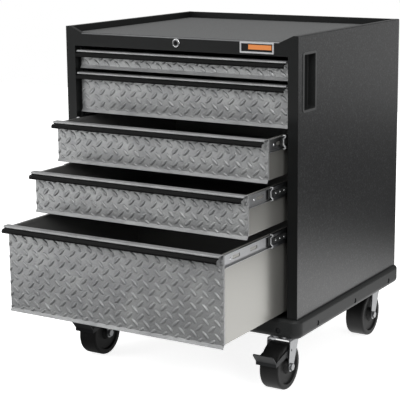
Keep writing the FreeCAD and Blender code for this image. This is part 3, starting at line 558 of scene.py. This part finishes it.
def makeSlideBumpers(name, low, outer, middle):
    # The black bumper inside the rolled end, and the black ball cage behind it; the cage's dark
    # is partly its own black plastic and partly painted shade of the member's web.
    bm = bmesh.new()
    tall = slideBumper["height"] / 2
    inner = outer - slideCurl["depth"] - slideCurl["thick"]
    addBlock(bm, (inner - slideBumper["thick"], low.y - slideBumper["length"], middle - tall),
             (inner, low.y - slideBumper["gap"], middle + tall))
    cage = ballCage["height"] / 2
    web = outer - ballCage["webStep"]
    start = low.y + ballCage["start"]
    addBlock(bm, (web + ballCage["lift"], start, middle - cage),
             (web + ballCage["thick"], start + ballCage["length"], middle + cage))
    bmesh.ops.bevel(bm, geom=bm.edges[:], offset=slideBumper["edge"], segments=2,
                    affect="EDGES", profile=0.5)
    bothSides(bm)
    pieceFromMesh(name + "_slide_bumpers", bm, mouldedPlastic, name + "_middle",
                  smooth=False)


def makeSlideBalls(name, low, outer, middle):
    bm = bmesh.new()
    start = low.y + ballCage["start"]
    for i in range(int(ballCage["length"] / slideBalls["pitch"])):
        y = start + (i + slideBalls["firstShare"]) * slideBalls["pitch"]
        place = Matrix.Translation((outer - ballCage["webStep"] + slideBalls["rise"], y,
                                    middle))
        bmesh.ops.create_uvsphere(bm, u_segments=slideBalls["around"],
                                  v_segments=slideBalls["down"], radius=slideBalls["radius"],
                                  matrix=place @ Matrix.Rotation(math.pi / 2, 4, "Y")
                                  @ Matrix.Diagonal((1.0, 1.0, slideBalls["squash"], 1.0)))
    bothSides(bm)
    pieceFromMesh(name + "_slide_balls", bm, chrome, name + "_middle")


def makeSideSlots(name, own, side, middle):
    # A dark round-ended slot in the side sheet, just ahead of the drawer's own member: a thin
    # dark plate, not a cut, whose dark is painted shade of the opening.
    bm = bmesh.new()
    outline = roundedOutline((own.y - sideSlot["front"], middle - sideSlot["drop"]),
                             (own.y - sideSlot["back"], middle + sideSlot["climb"]),
                             sideSlot["round"], sideSlot["steps"])
    addPlate(bm, outline, side - sideSlot["sunk"], side + sideSlot["proud"])
    bothSides(bm)
    pieceFromMesh(name + "_side_slots", bm, foamLiner, name, smooth=False)


def makeSlideScrews(name, own, side, middle):
    # Pan head screws that hold that member to the box.
    bm = bmesh.new()
    radius = slideScrew["radius"]
    for back in (slideScrew["back"], slideScrew["back"] + slideScrew["apart"]):
        place = Matrix.Translation((side + slideScrew["sheet"], own.y + back, middle))
        bmesh.ops.create_uvsphere(bm, u_segments=slideScrew["around"],
                                  v_segments=slideScrew["down"], radius=1.0,
                                  matrix=place @ Matrix.Diagonal((slideScrew["rise"], radius,
                                                                  radius, 1.0)))
    bothSides(bm)
    pieceFromMesh(name + "_slide_screws", bm, chrome, name)


def makeSlideFittings(name):
    low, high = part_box(name + "_middle_slides")
    middle = (low.z + high.z) / 2
    makeSlideCurls(name, low, high.x, middle, (high.z - low.z) / 2)
    makeSlideBumpers(name, low, high.x, middle)
    makeSlideBalls(name, low, high.x, middle)
    own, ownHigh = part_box(name + "_slide_members")
    side = ownHigh.x - sideSlot["memberReach"]
    makeSideSlots(name, own, side, middle)
    makeSlideScrews(name, own, side, middle)


for name in drawerNames:
    makeSlideFittings(name)
print("slide fittings made")


# The folded top edge of the front rail, which catches the light; its grey coat is a painted
# highlight

railFold = {"radius": 1.8 * mm, "sunk": 0.7 * mm, "steps": 10, "endGap": 52.0 * mm,
            "tip": 1.5 * mm, "tipShare": 0.35}


def makeRailFold():
    low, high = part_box("front_frame")
    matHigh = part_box("top_mat")[1]
    radius = railFold["radius"]
    tip = railFold["tip"]
    left, right = low.x + railFold["endGap"], high.x - railFold["endGap"]
    y = low.y + radius - railFold["sunk"]
    z = matHigh.z - radius + railFold["sunk"]
    bm = bmesh.new()
    rings = []
    for x, share in ((left - tip, railFold["tipShare"]), (left, 1.0), (right, 1.0),
                     (right + tip, railFold["tipShare"])):
        ring = []
        for i in range(railFold["steps"]):
            angle = 2 * math.pi * i / railFold["steps"]
            ring.append(bm.verts.new((x, y + share * radius * math.cos(angle),
                                      z + share * radius * math.sin(angle))))
        rings.append(ring)
    bridgeRings(bm, rings)
    bm.faces.new(rings[0][::-1])
    bm.faces.new(rings[-1])
    bmesh.ops.recalc_face_normals(bm, faces=bm.faces)
    # The bead's grey coat is a painted highlight on the black rail.
    pieceFromMesh("top_rail_fold", bm, railHighlightCoat, "cabinet")


makeRailFold()
print("rail fold made")


# Raised rims round the mouths of the hand-holds, in paler plastic as a painted highlight

holdRim = {"width": 5.6 * mm, "proud": 0.9 * mm, "sunk": 0.4 * mm, "round": 8.0 * mm,
           "beyond": 3.0 * mm, "cornerSteps": 5}


def makeHoldRims():
    low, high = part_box("side_hand_holds")
    width = holdRim["width"]
    y0, y1 = low.y - holdRim["beyond"], high.y + holdRim["beyond"]
    z0, z1 = low.z - holdRim["beyond"], high.z + holdRim["beyond"]
    outer = roundedOutline((y0, z0), (y1, z1), holdRim["round"], holdRim["cornerSteps"])
    inner = roundedOutline((y0 + width, z0 + width), (y1 - width, z1 - width),
                           holdRim["round"] - width, holdRim["cornerSteps"])
    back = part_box("right_side_panel")[1].x - holdRim["sunk"]
    front = high.x + holdRim["proud"]
    bm = bmesh.new()
    rings = []
    for outline, x in ((outer, back), (outer, front), (inner, front), (inner, back)):
        rings.append([bm.verts.new((x, y, z)) for y, z in outline])
    bridgeRings(bm, rings + rings[:1])
    bmesh.ops.recalc_face_normals(bm, faces=bm.faces)
    bothSides(bm)
    # The rims' paler plastic is a painted highlight.
    pieceFromMesh("hand_hold_rims", bm, holdRimHighlightPlastic, "cabinet", smooth=False)


makeHoldRims()
print("hand-hold rims made")


# Plain enamel stripe on the badge: warm orange, with a soft shine

badgeStripe = {"name": "orange baked enamel", "colour": "#e08a4a", "roughness": 0.35,
               "grain": 0.8 * mm, "grainStrength": 0.1, "grainDepth": 0.05 * mm,
               "left": 24.0 * mm, "right": 6.5 * mm, "low": 9.5 * mm, "high": 6.8 * mm,
               "rise": 0.3 * mm, "sunk": 0.8 * mm, "edge": 0.12 * mm}


def makeBadgeStripe():
    stripe = badgeStripe
    faceY = badgeLow.y + stripe["sunk"]
    bm = bmesh.new()
    addBlock(bm, (badgeLow.x + stripe["left"], faceY - stripe["rise"],
                  badgeLow.z + stripe["low"]),
             (badgeHigh.x - stripe["right"], faceY + stripe["rise"],
              badgeHigh.z - stripe["high"]))
    bmesh.ops.bevel(bm, geom=bm.edges[:], offset=stripe["edge"], segments=2, affect="EDGES")
    pieceFromMesh("badge_stripe", bm, makeFinish(stripe), "cabinet",
                  smooth=False)


makeBadgeStripe()
print("badge stripe made")


# Floor: white to the camera, with the cabinet's soft shadow. To other rays it is a pool of
# light beside the cabinet and one ahead of it, which fade into a dark studio.

sweep = {"name": "matt white sweep", "colour": "#f4f4f4", "roughness": 0.9, "specular": 0.1,
         "glow": "#ffffff", "glowStrength": 0.84, "size": 9.0, "squares": 8,
         "drop": 0.4 * mm, "poolCentre": (0.8, 0.3, 0.0), "poolInner": 0.35,
         "poolOuter": 1.4, "poolLevel": 1.0, "poolBeyond": 0.08,
         "frontCentre": (-1.7, -2.1, 0.0), "frontInner": 0.6, "frontOuter": 1.6,
         "frontLevel": 2.25, "frontBeyond": 0.0, "mirrored": 1.7, "bounced": 0.35}


def makeFloor():
    bm = bmesh.new()
    bmesh.ops.create_grid(bm, x_segments=sweep["squares"], y_segments=sweep["squares"],
                          size=sweep["size"] / 2)
    mesh = bpy.data.meshes.new("floor")
    bm.to_mesh(mesh)
    bm.free()
    floor = bpy.data.objects.new("floor", mesh)
    bpy.context.scene.collection.objects.link(floor)
    material, tree, shader, coords = newMaterial(sweep)
    shader.inputs["Emission Color"].default_value = linearColour(sweep["glow"])
    shader.inputs["Emission Strength"].default_value = sweep["glowStrength"]
    pools = []
    for pool in ("pool", "front"):
        away = addNode(tree, "ShaderNodeVectorMath", {"operation": "DISTANCE",
                       1: sweep[pool + "Centre"]}, {0: coords})
        pools.append(addNode(tree, "ShaderNodeMapRange", {
            "From Min": sweep[pool + "Inner"], "From Max": sweep[pool + "Outer"],
            "To Min": sweep[pool + "Level"], "To Max": sweep[pool + "Beyond"],
            "interpolation_type": "SMOOTHSTEP"}, {"Value": away.outputs["Value"]}))
    brighter = addNode(tree, "ShaderNodeMath", {"operation": "MAXIMUM"},
                       {0: pools[0].outputs[0], 1: pools[1].outputs[0]})
    path = addNode(tree, "ShaderNodeLightPath")
    level = addNode(tree, "ShaderNodeMapRange", {"To Min": sweep["bounced"],
                    "To Max": sweep["mirrored"]}, {"Value": path.outputs["Is Glossy Ray"]})
    strength = addNode(tree, "ShaderNodeMath", {"operation": "MULTIPLY"},
                       {0: brighter.outputs[0], 1: level.outputs[0]})
    lit = addNode(tree, "ShaderNodeEmission", links={"Strength": strength.outputs[0]})
    mix = addNode(tree, "ShaderNodeMixShader", links={0: path.outputs["Is Camera Ray"],
                  1: lit.outputs[0], 2: shader.outputs[0]})
    tree.links.new(mix.outputs[0], tree.nodes["Material Output"].inputs["Surface"])
    floor.data.materials.append(material)
    floor.location = (0.0, 0.0, -sweep["drop"])


# Studio round it: dark, lighter overhead and towards the left, with a low band on the right.
# Each row says along which axis the light changes, from where to where, and its two levels.

studio = {"overhead": ("Z", 0.0, 0.9, 0.12, 0.55), "left": ("X", -0.2, -0.9, 0.0, 0.25),
          "right": ("X", 0.0, 0.4, 0.0, 0.65), "band": ("Z", 0.35, 0.05, 0.0, 1.0)}


def makeWorld():
    world = bpy.data.worlds.new("studio")
    bpy.context.scene.world = world
    world.use_nodes = True
    tree = world.node_tree
    tree.nodes.clear()
    coords = addNode(tree, "ShaderNodeTexCoord")
    split = addNode(tree, "ShaderNodeSeparateXYZ", links={0: coords.outputs["Generated"]})
    light = {}
    for part, (axis, start, end, dim, bright) in studio.items():
        light[part] = addNode(tree, "ShaderNodeMapRange", {
            "From Min": start, "From Max": end, "To Min": dim, "To Max": bright,
            "interpolation_type": "SMOOTHSTEP"}, {"Value": split.outputs[axis]}).outputs[0]
    low = addNode(tree, "ShaderNodeMath", {"operation": "MULTIPLY"},
                  {0: light["right"], 1: light["band"]})
    total = addNode(tree, "ShaderNodeMath", {"operation": "ADD"},
                    {0: light["overhead"], 1: light["left"]})
    total = addNode(tree, "ShaderNodeMath", {"operation": "ADD"},
                    {0: total.outputs[0], 1: low.outputs[0]})
    soft = addNode(tree, "ShaderNodeBackground", {"Color": linearColour("#ffffff")},
                   {"Strength": total.outputs[0]})
    white = addNode(tree, "ShaderNodeBackground", {"Color": linearColour("#ffffff"),
                    "Strength": 1.0})
    path = addNode(tree, "ShaderNodeLightPath")
    mix = addNode(tree, "ShaderNodeMixShader", links={0: path.outputs["Is Camera Ray"],
                  1: soft.outputs[0], 2: white.outputs[0]})
    addNode(tree, "ShaderNodeOutputWorld", links={0: mix.outputs[0]})


# Square softboxes: where each stands and aims, its side in metres and its watts

softboxes = {"key": ((0.9, -3.2, 2.3), (0.0, -0.3, 0.5), 1.2, 52.0),
             "left": ((-2.2, -2.7, 1.7), (0.0, -0.3, 0.4), 1.6, 20.0),
             "top": ((0.5, -0.3, 3.4), (0.0, 0.1, 0.4), 2.2, 35.0),
             "right": ((2.6, -1.6, 1.6), (0.3, 0.0, 0.5), 1.2, 16.0)}


def addSoftbox(name, place, aim, side, power):
    light = bpy.data.lights.new(name, "AREA")
    light.shape = "RECTANGLE"
    light.size = side
    light.size_y = side
    light.energy = power
    lamp = bpy.data.objects.new(name, light)
    bpy.context.scene.collection.objects.link(lamp)
    lamp.location = place
    direction = Vector(aim) - Vector(place)
    lamp.rotation_euler = direction.to_track_quat("-Z", "Y").to_euler()
    lamp.visible_camera = False


makeFloor()
makeWorld()
for name, (place, aim, side, power) in softboxes.items():
    addSoftbox(name + " softbox", place, aim, side, power)
bpy.context.scene.view_settings.view_transform = "Standard"
print("floor and lights set")
